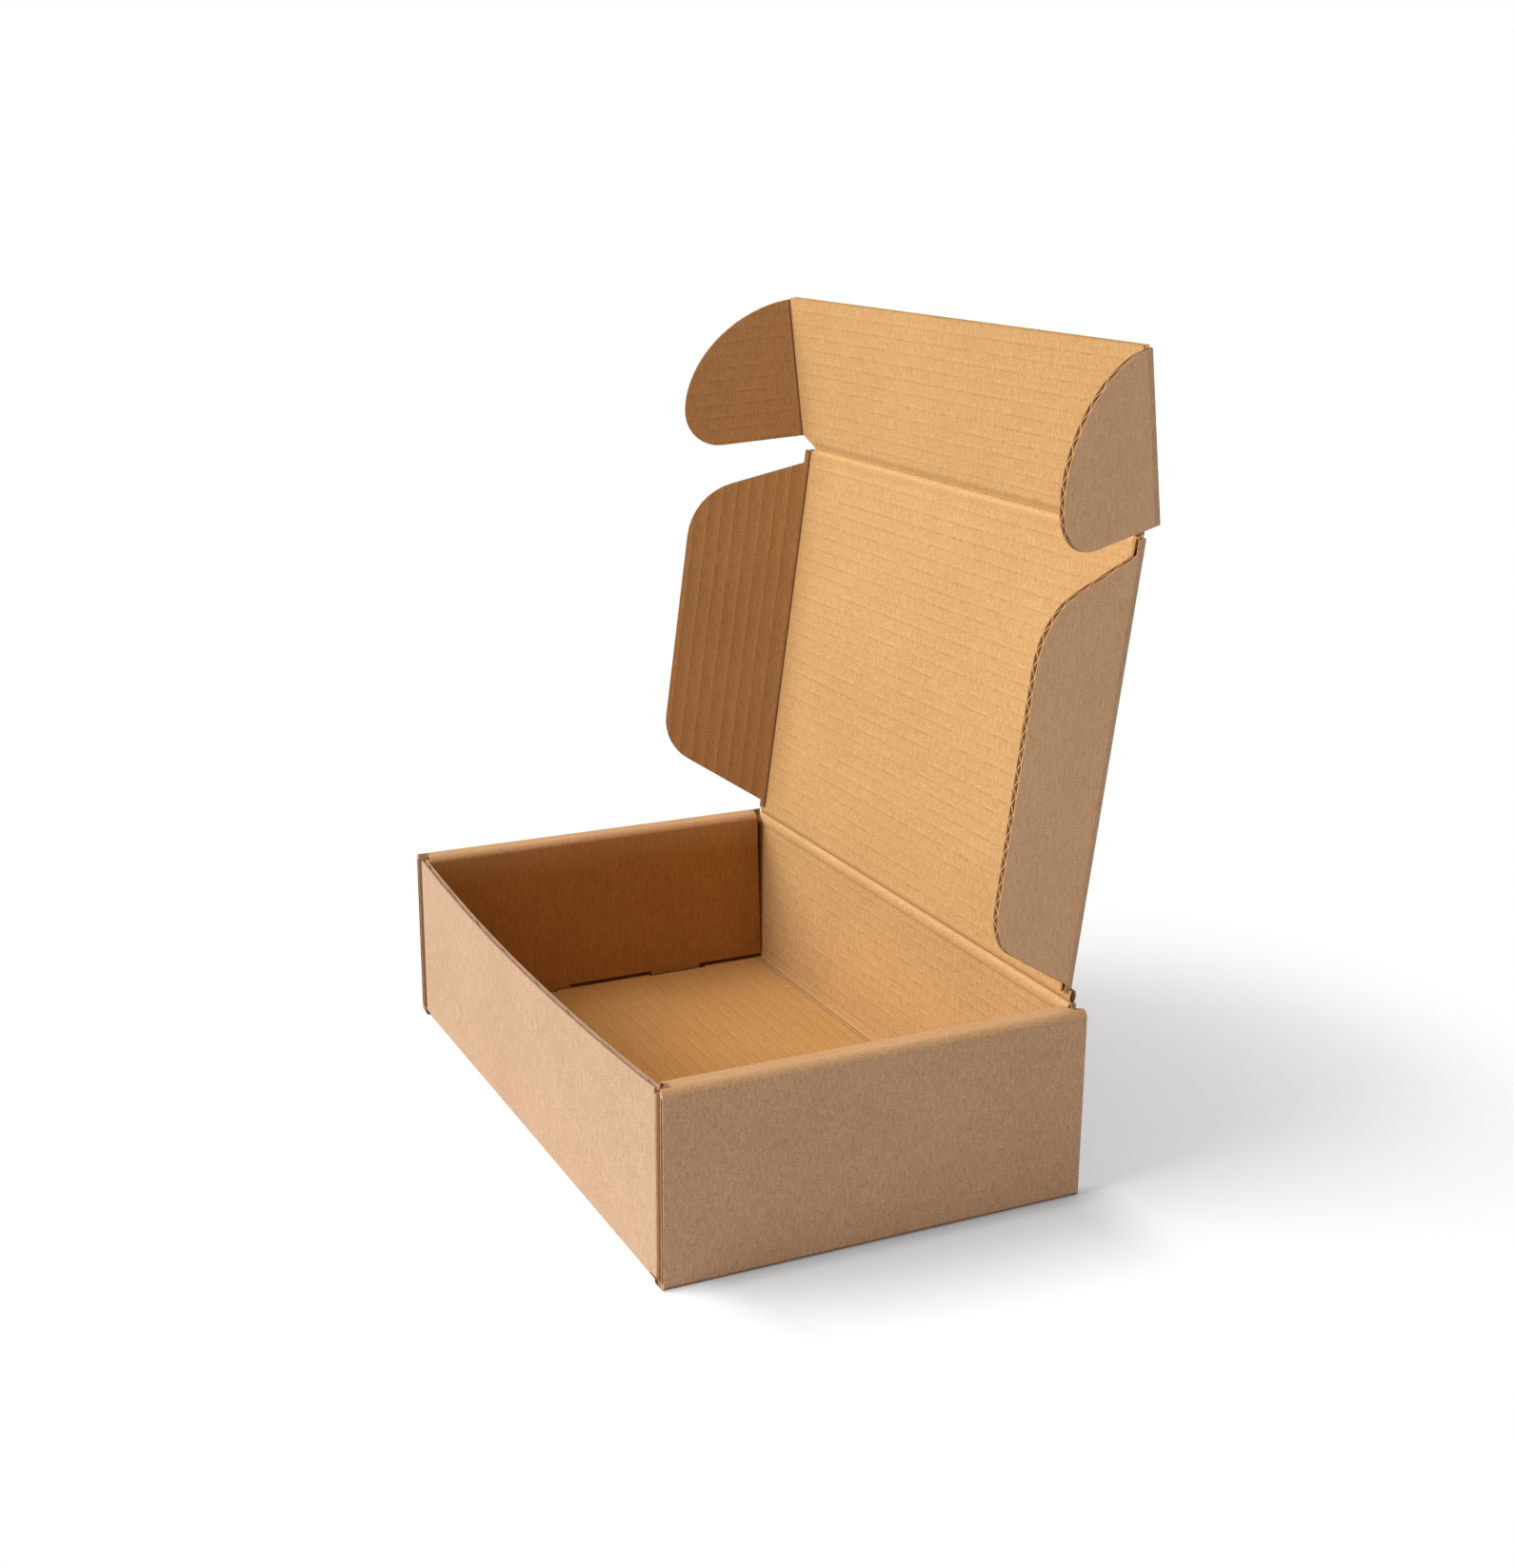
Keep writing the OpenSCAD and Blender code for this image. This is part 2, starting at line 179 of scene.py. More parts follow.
class Paint:
    """The nodes of one material or of the world."""

    def __init__(self, owner):
        self.owner = owner
        owner.use_nodes = True
        self.tree = owner.node_tree
        self.tree.nodes.clear()

    def node(self, kind, settings=None, sockets=None):
        made = self.tree.nodes.new(kind)
        for key, value in (settings or {}).items():
            setattr(made, key, value)
        for key, value in (sockets or {}).items():
            if isinstance(value, Num):
                value = value.socket
            if isinstance(value, bpy.types.NodeSocket):
                self.tree.links.new(value, made.inputs[key])
            else:
                made.inputs[key].default_value = value
        return made

    def place(self):
        return self.node("ShaderNodeTexCoord").outputs["Object"]

    def facing(self):
        return self.node("ShaderNodeTexCoord").outputs["Normal"]

    def axes(self, vector):
        split = self.node("ShaderNodeSeparateXYZ", {}, {"Vector": vector})
        return [Num(self, out) for out in split.outputs]

    def dot(self, vector, direction):
        made = self.node("ShaderNodeVectorMath", {"operation": "DOT_PRODUCT"},
                         {0: vector, 1: tuple(direction)})
        return Num(self, made.outputs["Value"])

    def noise(self, vector, scale, detail, rough, stretch=(1, 1, 1)):
        mapped = self.node("ShaderNodeMapping", {}, {"Vector": vector, "Scale": stretch})
        made = self.node("ShaderNodeTexNoise", {},
                         {"Vector": mapped.outputs[0], "Scale": scale, "Detail": detail, "Roughness": rough})
        return Num(self, made.outputs["Fac"])

    def mix(self, factor, a, b):
        """Colour between a and b, at 0 and 1 of factor."""
        made = self.node("ShaderNodeMix", {"data_type": "RGBA"}, {"Factor": factor, 6: a, 7: b})
        return made.outputs[2]

    def mix_shaders(self, factor, a, b):
        return self.node("ShaderNodeMixShader", {}, {"Fac": factor, 1: a.outputs[0], 2: b.outputs[0]})

    def bump(self, height, depth):
        made = self.node("ShaderNodeBump", {}, {"Height": height, "Distance": depth, "Strength": 1.0})
        return made.outputs["Normal"]

    def shows_background(self):
        """1 for the rays that see the white background and 0 for those that only light the scene."""
        path = self.node("ShaderNodeLightPath").outputs
        camera, glossy, through = (Num(self, path["Is " + kind + " Ray"])
                                   for kind in ("Camera", "Glossy", "Transmission"))
        return camera.most(glossy).most(through)

    def surface(self, colour, rough, normal, specular):
        shader = self.node("ShaderNodeBsdfPrincipled", {},
                           {"Base Color": colour, "Roughness": rough, "Normal": normal,
                            "Specular IOR Level": specular})
        self.node("ShaderNodeOutputMaterial", {}, {"Surface": shader.outputs[0]})
        return self.owner


def rgb(r, g, b):
    """An sRGB colour of 0 to 255 as the shader's linear one."""
    line = [c / 255 for c in (r, g, b)]
    return tuple(c / 12.92 if c <= 0.04045 else ((c + 0.055) / 1.055) ** 2.4 for c in line) + (1,)


# Kraft tones, each as the darker and the lighter end of its mottling; the painted light and shade among them
# is said above each
INSIDE = rgb(172, 127, 77), rgb(218, 173, 119)
# Painted light: the inner tone, lighter and warmer, on the tray's faces that face up
LIT_FLOOR_INSIDE = rgb(179, 130, 74), rgb(227, 177, 114)
# Painted shade: the inner tone, darker, on the inner side of the left flaps and of their folds
SHADED_INSIDE = rgb(146, 103, 61), rgb(191, 146, 98)
OUTSIDE = rgb(160, 125, 96), rgb(210, 177, 149)
# Painted light: the outer tone, lighter, on the outer faces of the dust flaps and ears
FLAP_OUTSIDE_LIT = rgb(174, 136, 104), rgb(226, 191, 159)
# Painted shade on the side walls' inner panels, darker and more orange than their outer liner, less dark near
# the top
SIDE_INNER_SHADE = rgb(131, 85, 37), rgb(187, 136, 75)
SIDE_INNER_TOP_SHADE = rgb(155, 113, 70), rgb(198, 156, 108)
# Painted light: the outer liner's tone, lighter and warmer, on the tops of the side walls' rolls
ROLL_TOP_LIGHT = rgb(182, 138, 96), rgb(226, 182, 137)
# Painted highlight on the beads of the lid's hinge and of the front flap's crease
BEAD_HIGHLIGHT = rgb(188, 143, 92), rgb(232, 187, 133)
# Painted shade: lines in the creases over the hinge's bead and beside the ridge at the walls' feet, and a
# band at the front flap's crease
CREASE_SHADE_LINE = rgb(138, 96, 54), rgb(172, 128, 80)
# Painted shade in the seam at each corner of the tray
SEAM_SHADE = rgb(140, 97, 62), rgb(162, 119, 82)
CUT_EDGE = rgb(184, 138, 90), rgb(212, 166, 116)

# Tones without mottling, all painted shade but the fibre specks
FOLD_SHADE_LINE = rgb(92, 56, 26)
FLUTE_SHADE = rgb(62, 30, 9)
GAP_SHADE = rgb(74, 40, 18)
FOOT_SHADE = rgb(92, 76, 65)
FIBRE_SPECK = rgb(118, 80, 48)

# Noises of the paper: scale, detail, roughness and stretch
FIBRE = 1500, 3, 0.65
STRAND = 700, 2, 0.6, (1.6, 1.6, 0.3)
CLOUD = 22, 3, 0.5
SPECK = 330, 2, 0.4, (1, 1, 2.2)
DASH_LEVEL = 160, 2, 0.6, (0.45, 1, 1)
DASH_UPRIGHT = 160, 2, 0.6, (1, 1, 0.3)
ROUGH_EDGE = 900, 2, 0.5

# What each noise and the pressed lines add to the tone, and to the height of the paper's surface
FIBRE_TONE, STRAND_TONE, CLOUD_TONE, PRESSED_TONE = 1.7, 0.8, 0.3, 0.26
FIBRE_RISE, STRAND_RISE, PRESSED_RISE = 0.35, 0.2, 0.5
SPECK_EDGE, SPECK_TONE = (0.74, 0.82), 0.5
PAPER_BUMP = 0.02 * MM
LEAST_ROUGH, FIBRE_ROUGH = 0.8, 0.12
SPECULAR = 0.2

# Pressed lines: half width of the dark line and of the lip after it, as shares of the pitch, and the dashes
DARK_HALF = 0.1
LIP_MIDDLE, LIP_HALF, LIP_TONE = 0.22, 0.2, 0.35
DASH_EDGE, DASH_LEAST, DASH_MORE = (0.36, 0.66), 0.35, 0.75
BAND_TONE, BRIM_MIDDLE, BRIM_HALF, BRIM_TONE = 1.5, 0.05, 0.07, 0.7
BAND_EDGE = 0.1, 0.5

# Where a face counts as turned a way, as the cosine's span from no to yes
FACES = 0.3, 0.6
MOSTLY_FACES = 0.5, 0.8
STEEP = 0.2, 0.5
ROLL_TURN = 0.1, 0.45
INNER_TURN = -0.2, 0.2
EDGE_TURN = 0.35, 0.6


def pressed_lines(run, pitch, dash):
    """Thin dark lines with a lighter lip after each, broken up along their length."""
    phase = (run * (1 / pitch)).part()
    dark = phase.band(0, DARK_HALF).most(phase.band(1, DARK_HALF))
    light = phase.band(LIP_MIDDLE, LIP_HALF)
    return (light * LIP_TONE - dark) * (DASH_LEAST + dash.step(*DASH_EDGE) * DASH_MORE)


def soft_bands(run, pitch, dash):
    """Broad bands that start light, with a lighter brim, and darken across their width."""
    phase = (run * (1 / pitch)).part()
    brim = phase.band(BRIM_MIDDLE, BRIM_HALF)
    return ((0.5 - phase) * BAND_TONE + brim * BRIM_TONE) * dash.step(*BAND_EDGE)


def kraft(name, sides, lines=None):
    """Kraft board. sides(paint, place, facing) gives its tone as darker and lighter colours and the share
    of the surface that is the inner liner. lines(paint, place, facing) gives the pressed lines."""
    paint = Paint(bpy.data.materials.new(name))
    place = paint.place()
    facing = paint.facing()
    dark, light, inner = sides(paint, place, facing)
    fibre = paint.noise(place, *FIBRE)
    strand = paint.noise(place, *STRAND)
    cloud = paint.noise(place, *CLOUD)
    speck = paint.noise(place, *SPECK)
    shade = 0.5 + (fibre - 0.5) * FIBRE_TONE + (strand - 0.5) * STRAND_TONE + (cloud - 0.5) * CLOUD_TONE
    height = fibre * FIBRE_RISE + strand * STRAND_RISE
    if lines:
        pressed = lines(paint, place, facing) * inner
        shade = shade + pressed * PRESSED_TONE
        height = height + pressed * PRESSED_RISE
    tone = paint.mix(shade, dark, light)
    tone = paint.mix(speck.step(*SPECK_EDGE) * SPECK_TONE, tone, FIBRE_SPECK)
    normal = paint.bump(height, PAPER_BUMP)
    return paint.surface(tone, fibre * FIBRE_ROUGH + LEAST_ROUGH, normal, SPECULAR)


def tray_lines(paint, place, facing):
    """Pressed lines along the tray's floor and along its front and back walls."""
    y, z = paint.axes(place)[1:]
    dash = paint.noise(place, *DASH_LEVEL)
    flat = abs(paint.dot(facing, Z)).step(*MOSTLY_FACES)
    side = abs(paint.dot(facing, X)).step(*MOSTLY_FACES)
    along_floor = pressed_lines(y - FIRST_FLOOR_LINE, FLOOR_LINES, dash)
    along_wall = pressed_lines(z - FIRST_WALL_LINE, LID_LINES, dash)
    return (along_floor * flat + along_wall * (1 - flat)) * (1 - side)


# Spans over which the tray's tones change, in height or in distance from the middle
OVER_FLOOR = 4 * MM, 8 * MM
INWARD = CORNER_X, CORNER_X + 0.5 * MM
ROLL_X = WALL_IN - 1 * MM, WALL_IN
ROLL_Z = ROLL_FOOT - 4 * MM, ROLL_FOOT
SIDE_TOP = 60 * MM, 80 * MM
BEHIND_PANEL = WALL_IN + 0.5 * MM, WALL_IN + 1.5 * MM
UNDER_ROLL = ROLL_FOOT - 1.5 * MM, ROLL_FOOT
IN_FLOOR = 2.3 * MM, 2.5 * MM
SLOT_X = WALL_IN - 2 * MM, WALL_IN - 1.5 * MM
TAB_START, TAB_END = (TAB_FROM - 0.5 * MM, TAB_FROM), (TAB_TO, TAB_TO + 0.5 * MM)
PANEL_FOOT = 4.5 * MM, 4.8 * MM
SEAM_START, SEAM_END = (141.2 * MM, 142.6 * MM), (SIDE_IN - 0.1 * MM, SIDE_IN)
SEAM_Y = 84.5 * MM, 86.5 * MM
CORE_START = SIDE_CORE_IN, SIDE_CORE_IN + 0.2 * MM
CORE_END = SIDE_CORE_OUT - 0.2 * MM, SIDE_CORE_OUT
CORE_Y = 88.2 * MM, 88.6 * MM
CORE_RISE, CORE_TOP = (15 * MM, 40 * MM), (66 * MM, 70 * MM)
SIDE_FACE = SIDE_OUT - 0.5 * MM, SIDE_OUT - 0.1 * MM
UNDERFOOT = 1.2 * MM, 2.4 * MM


def tray_gaps(x, y, z, up, panel, inward):
    """Painted shade in the gaps behind an inner panel, under it and in the slots of the floor."""
    behind = panel * abs(x).step(*BEHIND_PANEL) * z.fade(*UNDER_ROLL)
    slot = z.fade(*IN_FLOOR) * abs(up).fade(*STEEP) * abs(x).step(*SLOT_X) * inward
    along = abs(y - TAB_MIDDLE)
    at_tab = along.step(*TAB_START) * along.fade(*TAB_END)
    foot = panel * z.fade(*PANEL_FOOT) * (1 - at_tab)
    return behind.most(slot).most(foot)


def tray_sides(paint, place, facing):
    """Tones of the tray: outer faces, inner faces with painted light on those that face up, painted shade on
    the side walls' inner panels, less near the top, painted light on their rolls' tops, and painted shade in
    the seam at each corner, in the open flutes of the side walls' ends, along their feet and in the gaps."""
    x, y, z = paint.axes(place)
    toward_x = paint.dot(facing, X) * x.sign() * -1
    toward_y = paint.dot(facing, Y) * y.sign() * -1
    up = paint.dot(facing, Z)
    upward = up.step(*FACES)
    inner = toward_y.step(*FACES).most(upward * z.fade(*OVER_FLOOR))
    inward = abs(x).fade(*INWARD)
    panel = toward_x.step(*FACES) * inward
    rough_edge = (paint.noise(place, *ROUGH_EDGE) - 0.5) * 0.5
    # painted light on the up-facing tops of the rolls
    roll_light = (up + rough_edge).step(*ROLL_TURN) * abs(x).step(*ROLL_X) * z.step(*ROLL_Z)
    less_shade_near_top = z.step(*SIDE_TOP)
    gap = tray_gaps(x, y, z, up, panel, inward)
    # painted shade in the seam at each corner
    seam = abs(x).step(*SEAM_START) * abs(x).fade(*SEAM_END) * abs(y).step(*SEAM_Y)
    core = abs(x).step(*CORE_START) * abs(x).fade(*CORE_END) * abs(y).step(*CORE_Y)
    # painted shade in the open flutes of the side walls' ends, lighter low down and gone at the top
    hollow = core * (0.3 + z.step(*CORE_RISE) * 0.6) * z.fade(*CORE_TOP)
    # painted shade along the foot of each side wall's outer face
    underfoot = abs(x).step(*SIDE_FACE) * z.fade(*UNDERFOOT) * 0.85
    tones = []
    for end in (0, 1):
        # painted shade on the inner panels, less dark near the top
        inside = paint.mix(less_shade_near_top, SIDE_INNER_SHADE[end], SIDE_INNER_TOP_SHADE[end])
        # painted light on the inner faces that face up
        sheet = paint.mix(upward, INSIDE[end], LIT_FLOOR_INSIDE[end])
        tone = paint.mix(panel, paint.mix(inner, OUTSIDE[end], sheet), inside)
        tone = paint.mix(roll_light, tone, ROLL_TOP_LIGHT[end])
        tone = paint.mix(seam, tone, SEAM_SHADE[end])
        tone = paint.mix(hollow, tone, FLUTE_SHADE)
        tone = paint.mix(underfoot, tone, FOOT_SHADE)
        tones.append(paint.mix(gap, tone, GAP_SHADE))
    return tones[0], tones[1], inner


def panel_sides(origin, outward, outside=OUTSIDE, inside=INSIDE, fluted=None):
    """Tones of a flat panel whose middle plane passes through origin, facing outward on its outer side.
    fluted is the direction in which its flutes follow one another, if its cut edges show them, with painted
    shade in their hollows."""
    def sides(paint, place, facing):
        turned = paint.dot(facing, outward)
        inner = turned.fade(*INNER_TURN)
        edge = abs(turned).fade(*EDGE_TURN)
        tones = [paint.mix(edge, paint.mix(inner, outside[end], inside[end]), CUT_EDGE[end])
                 for end in (0, 1)]
        if fluted:
            depth = paint.dot(place, outward) - origin.dot(outward)
            run = (paint.dot(place, fluted) - origin.dot(fluted)) * (1 / FLUTE_PITCH)
            paper = (1 - abs(run.part() - 0.5) * 4) * HALF_CORE
            off_paper = abs(depth - paper).step(FLUTED_PAPER, 2 * FLUTED_PAPER)
            # painted shade in the hollows between the flutes on the cut edges
            hollow = edge * off_paper * abs(depth).fade(HALF_CORE, HALF_CORE + 0.1 * MM)
            tones = [paint.mix(hollow, tone, FLUTE_SHADE) for tone in tones]
        return tones[0], tones[1], inner * (1 - edge)
    return sides


def panel_lines(origin, across, pitch):
    """Pressed lines over a flat panel, counted along across from origin."""
    def lines(paint, place, facing):
        run = paint.dot(place, across) - origin.dot(across)
        return pressed_lines(run, pitch, paint.noise(place, *DASH_LEVEL))
    return lines


def panel_bands(origin, across, pitch, first):
    """Soft bands over a flat panel, counted along across from first past origin."""
    def bands(paint, place, facing):
        run = paint.dot(place, across) - (origin.dot(across) - first)
        return soft_bands(run, pitch, paint.noise(place, *DASH_UPRIGHT))
    return bands


def outer_crease(paint, place, facing):
    return OUTSIDE[0], OUTSIDE[1], None


# Creases' inner side, for its painted highlights and painted shade: spans, and lines as (middle, half width),
# in height or in distance from the middle
BEAD_FOOT, BEAD_TOP, OVER_BEAD = (74.5 * MM, 76 * MM), (79.4 * MM, 80.2 * MM), (80.7 * MM, 0.7 * MM)
RIDGE_LINES, AT_FOOT = ((84.1 * MM, 0.55 * MM), (86.0 * MM, 0.55 * MM)), (6 * MM, 8 * MM)
FOLD_LINES = (135.2 * MM, 0.6 * MM), (143.8 * MM, 0.6 * MM)
OFF_SIDE = LID_HALF_IN, LID_HALF_IN + 0.5 * MM
OVER_TRAY, ON_EARS = (83 * MM, 85 * MM), (262.5 * MM, 263 * MM)
SHADED_DUST, SHADED_EAR = (135 * MM, 135.4 * MM), (143.6 * MM, 144 * MM)

# The same at the front flap's crease, as distances past it
FAR_BEAD, FAR_LINE = (-2.2 * MM, 1.8 * MM), (-0.2 * MM, 0.6 * MM)
FAR_BAND_START, FAR_BAND_END = (-0.6 * MM, 0), (2.6 * MM, 3.4 * MM)


def inner_crease(paint, place, facing):
    """Tones of the creases' inner side: painted highlight on the bead under the lid's hinge, with a line of
    painted shade over it, lines of painted shade on both sides of the ridge at the foot of the walls, painted
    highlight on the bead and a band of painted shade at the front flap's crease, a line of painted shade in
    the corner of each side fold, and painted shade over the left folds."""
    x, y, z = paint.axes(place)
    over_tray = z.step(*OVER_TRAY)
    bead = z.step(*BEAD_FOOT) * z.fade(*BEAD_TOP)
    beside_ridge = abs(y).band(*RIDGE_LINES[0]).most(abs(y).band(*RIDGE_LINES[1]))
    past_far = paint.dot(place, LID_UP) - FAR_CREASE.dot(LID_UP)
    off_side = abs(x).fade(*OFF_SIDE)
    far_highlight = past_far.band(*FAR_BEAD) * off_side
    far_shade_band = past_far.step(*FAR_BAND_START) * past_far.fade(*FAR_BAND_END) * 0.45
    far_shade_band = (far_shade_band + past_far.band(*FAR_LINE) * 0.4) * off_side
    # painted shade: the line over the hinge's bead, the lines beside the ridge and the band at the front
    # flap's crease
    line = z.band(*OVER_BEAD).most(beside_ridge * z.fade(*AT_FOOT)).most(far_shade_band)
    # painted highlight on the beads
    highlight = bead.most(far_highlight * 0.7)
    # painted shade line in the inner corner of each side fold
    fold_shade = abs(x).band(*FOLD_LINES[0]).most(abs(x).band(*FOLD_LINES[1])) * over_tray
    left = x * -1
    on_ear = z.step(*ON_EARS)
    in_shade = left.step(*SHADED_DUST) * over_tray * (1 - on_ear) + left.step(*SHADED_EAR) * on_ear
    tones = []
    for end in (0, 1):
        sheet = paint.mix(in_shade, INSIDE[end], SHADED_INSIDE[end])
        tone = paint.mix(line, paint.mix(highlight, sheet, BEAD_HIGHLIGHT[end]), CREASE_SHADE_LINE[end])
        tones.append(paint.mix(fold_shade, tone, FOLD_SHADE_LINE))
    return tones[0], tones[1], None


def side_normal(side, parent_out):
    """Outward normal of a flap folded forward at the panel's left (-1) or right (1)."""
    return X * side * math.sin(SIDE_FOLD) + parent_out * math.cos(SIDE_FOLD)


def side_run(side, parent_out):
    """Direction from such a flap's crease to its free edge."""
    return X * side * math.cos(SIDE_FOLD) - parent_out * math.sin(SIDE_FOLD)


def paint_board():
    paints = {
        "tray": kraft("board_tray", tray_sides, tray_lines),
        "lid": kraft("board_lid", panel_sides(HINGE, LID_OUT), panel_lines(HINGE, LID_UP, LID_LINES)),
        "front_flap": kraft("board_front_flap", panel_sides(FAR_CREASE, FLAP_OUT),
                            panel_lines(FAR_CREASE, FLAP_UP, FLAP_LINES)),
    }
    for name, side in SIDES:
        # the left flaps' inner side gets painted shade
        inside = SHADED_INSIDE if side < 0 else INSIDE
        crease = HINGE + X * side * DUST_X
        paints["dust_flap_" + name] = kraft(
            "board_dust_flap_" + name,
            panel_sides(crease, side_normal(side, LID_OUT), FLAP_OUTSIDE_LIT, inside, LID_UP),
            panel_bands(crease, side_run(side, LID_OUT), DUST_LINES, FIRST_DUST_BAND))
        crease = FAR_CREASE + X * side * EAR_X
        paints["ear_" + name] = kraft(
            "board_ear_" + name,
            panel_sides(crease, side_normal(side, FLAP_OUT), FLAP_OUTSIDE_LIT, inside, FLAP_UP),
            panel_lines(crease, FLAP_UP, FLAP_LINES))
    for node, material in paints.items():
        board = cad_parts[node].data
        board.materials.clear()
        board.materials.append(material)


# Creases: paper strips that run over each fold, from its parent panel to the panel that turns
STRIP_CUTS = 23
SMOOTH_BELOW = math.radians(50)
BLEND_REACH = 2 * MM
PROUD, BURIED = 0.05 * MM, 0.3 * MM
FOLD_REACH, FOLD_TAIL, FOLD_ROUND = 2.6 * MM, 1 * MM, 1.1 * MM
FOLD_STEPS = 8


def crease_frame(origin, parent_way, parent_out):
    """Local X along the crease, Y out of the sheet and Z from the parent panel to the crease."""
    turn = Matrix((parent_out.cross(parent_way), parent_out, parent_way)).transposed()
    return Matrix.Translation(origin) @ turn.to_4x4()


def crease_strip(name, profile, low, high, place, outward):
    """Paper strip: an edge from low to high along local X, extruded from point to point of the profile."""
    bpy.ops.object.select_all(action="DESELECT")
    bpy.ops.mesh.primitive_plane_add(size=high - low, location=((low + high) / 2, 0, 0))
    strip = bpy.context.object
    strip.name = name
    bpy.ops.object.transform_apply(location=True, rotation=False, scale=False)
    bpy.ops.object.mode_set(mode="EDIT")
    mesh = bmesh.from_edit_mesh(strip.data)
    for vert in mesh.verts:
        vert.select_set(vert.co.y > 0)
    mesh.select_flush(False)
    mesh.select_flush(True)
    bmesh.update_edit_mesh(strip.data)
    bpy.ops.mesh.delete(type="VERT")
    bpy.ops.mesh.select_all(action="SELECT")
    bpy.ops.mesh.subdivide(number_cuts=STRIP_CUTS)
    bpy.ops.mesh.select_all(action="SELECT")
    bpy.ops.transform.translate(value=(0, profile[0][0] + (high - low) / 2, profile[0][1]))
    for before, after in zip(profile, profile[1:]):
        move = (0, after[0] - before[0], after[1] - before[1])
        bpy.ops.mesh.extrude_region_move(TRANSFORM_OT_translate={"value": move})
    bpy.ops.mesh.select_all(action="SELECT")
    mesh = bmesh.from_edit_mesh(strip.data)
    if sum(face.normal.y for face in mesh.faces) * outward < 0:
        bpy.ops.mesh.flip_normals()
    bpy.ops.object.mode_set(mode="OBJECT")
    thick = strip.modifiers.new("liner", "SOLIDIFY")
    thick.thickness = LINER
    thick.offset = -1
    bpy.ops.object.modifier_apply(modifier=thick.name)
    strip.matrix_world = place
    bpy.ops.object.transform_apply(location=True, rotation=True, scale=True)
    bpy.ops.object.shade_smooth_by_angle(angle=SMOOTH_BELOW)
    return strip


def on_panel(fold, height, along):
    """Point of a profile that lies height over the middle plane of a panel turned by fold, and along past
    the crease."""
    return (height * math.cos(fold) - along * math.sin(fold),
            height * math.sin(fold) + along * math.cos(fold))


def over_face(fold, outward, points):
    """Points given in mm as (height over the face, distance past the crease), on a panel turned by fold."""
    return [on_panel(fold, (HALF_BOARD + up * MM) * outward, along * MM) for up, along in points]


def fold_points(outward):
    """Profile round a fold of the side flaps, on its outer (1) or inner (-1) face."""
    face = (HALF_BOARD + PROUD) * outward
    deep = (HALF_BOARD - BURIED) * outward
    if outward > 0:
        turn = [on_panel(SIDE_FOLD * i / FOLD_STEPS, face, 0) for i in range(FOLD_STEPS + 1)]
    else:
        corner = (face, face * math.tan(SIDE_FOLD / 2))
        first = (face, corner[1] - FOLD_ROUND)
        last = on_panel(SIDE_FOLD, face, FOLD_ROUND - corner[1])
        turn = []
        for i in range(FOLD_STEPS + 1):
            t = i / FOLD_STEPS
            turn.append(tuple(a * (1 - t) ** 2 + b * 2 * t * (1 - t) + c * t ** 2
                              for a, b, c in zip(first, corner, last)))
    return ([(deep, -FOLD_REACH - FOLD_TAIL), (face, -FOLD_REACH)] + turn
            + [on_panel(SIDE_FOLD, face, FOLD_REACH), on_panel(SIDE_FOLD, deep, FOLD_REACH + FOLD_TAIL)])


# Profiles of the lid's hinge and of the front flap's crease, on their inner (-1) and outer (1) faces
HINGE_PROFILES = {
    -1: (over_face(0, -1, [(-0.3, -8.0), (0.05, -7), (0.2, -6.2), (0.42, -5.4), (0.55, -4.5), (0.6, -3.6),
                           (0.5, -2.7), (0.2, -2.0), (-0.45, -1.5), (-0.5, -1.1)])
         + over_face(-LID_LEAN, -1, [(-0.05, -0.2), (0.12, 0.6), (0.12, 1.4), (0.05, 2.4), (-0.3, 3.4)])),
    1: (over_face(0, 1, [(-0.3, -5), (0.05, -4), (0.1, -2.6), (-0.2, -1.7), (-0.45, -1.2)])
        + over_face(-LID_LEAN, 1, [(0.0, -0.1), (0.1, 0.8), (0.05, 2.2), (-0.3, 3.4)])),
}
FAR_PROFILES = {
    -1: (over_face(0, -1, [(-0.3, -7), (0.05, -6), (0.12, -4.4), (0.28, -3), (0.2, -2.2), (-0.3, -1.5),
                           (-0.5, -1.1)])
         + over_face(FLAP_BEND, -1, [(-0.02, -0.1), (0.02, 1.2), (0.06, 2.6), (-0.3, 4)])),
    1: (over_face(0, 1, [(-0.3, -4), (0.05, -3), (0.1, -2), (-0.1, -1.4)])
        + over_face(FLAP_BEND, 1, [(0.05, 0.2), (0.1, 1.4), (0.05, 3), (-0.3, 4)])),
}
FOLD_PROFILES = {outward: fold_points(outward) for outward in (-1, 1)}

# Pressed ridge and groove along the foot of the front and back walls, as mm (from the wall, over the floor)
FOOT_CREASE = [(5.6, -0.3), (4.6, 0.05), (3.6, 0.08), (3.2, 0.06), (2.9, 0.3), (2.6, 0.5), (2.2, 0.5),
               (1.9, 0.3), (1.6, 0.05), (1.2, 0.04), (0.8, 0.15), (0.4, 0.6), (0.15, 1.3), (0.05, 2.2),
               (0.02, 3.0), (-0.3, 4.2)]
FOOT_HALF = WALL_IN - 0.4 * MM


def add_foot_creases(paint):
    """Each wall folds up from the floor along a crease: strips along the tray's two inner corners."""
    for name, side in (("back", 1), ("front", -1)):
        wall = side * (HALF_DEPTH - BOARD)
        profile = [(wall - side * away * MM, BOARD + up * MM) for away, up in FOOT_CREASE]
        strip = crease_strip("foot_crease_" + name, profile, -FOOT_HALF, FOOT_HALF, Matrix.Identity(4), -side)
        strip.data.materials.append(paint)
        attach(strip, "tray")


